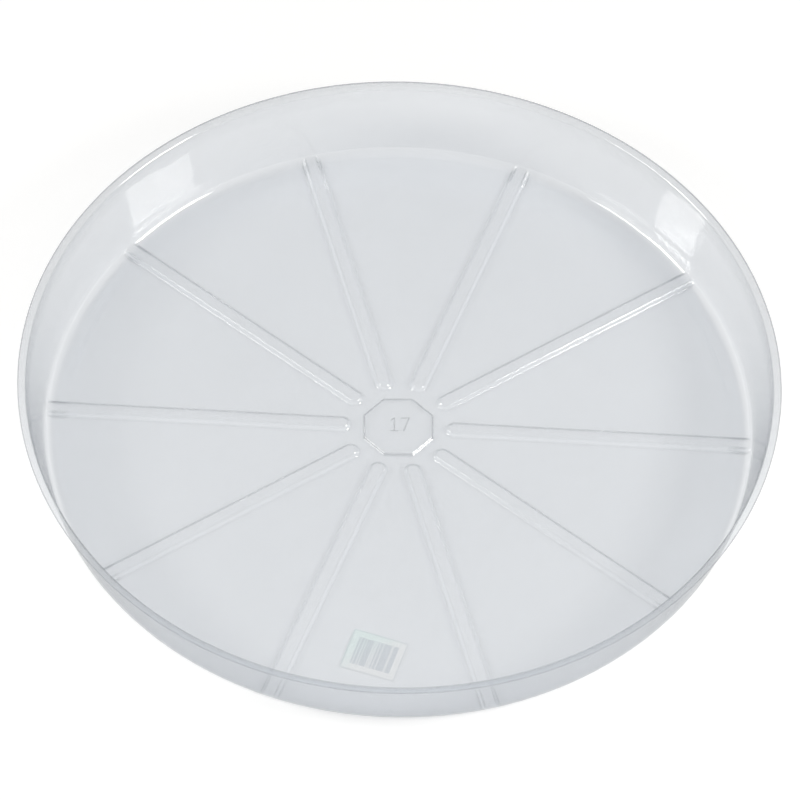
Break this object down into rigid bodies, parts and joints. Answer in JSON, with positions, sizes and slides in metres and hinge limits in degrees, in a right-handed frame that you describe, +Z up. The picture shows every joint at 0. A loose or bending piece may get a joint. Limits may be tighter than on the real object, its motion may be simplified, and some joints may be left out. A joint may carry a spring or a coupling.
{
  "type": "plant saucer",
  "caption": "Shallow round clear plastic saucer for standing under a plant pot, with raised radial ribs, a centre pad and a narrow rim flange",
  "frame": {"origin": "centre of the saucer on the plane it stands on", "axes": "+Z up along the axis of the bowl, +X along one of the ribs, -Y towards the side that carries the label, which is the front"},
  "size_m": [0.4318, 0.4318, 0.0475],
  "materials": {
    "clear_sheet": "clear formed plastic sheet, glossy, faint cool grey tint",
    "label_paper": null
  },
  "bodies": {
    "root": {"saucer": "clear_sheet", "label": "label_paper"}
  },
  "joints": []
}
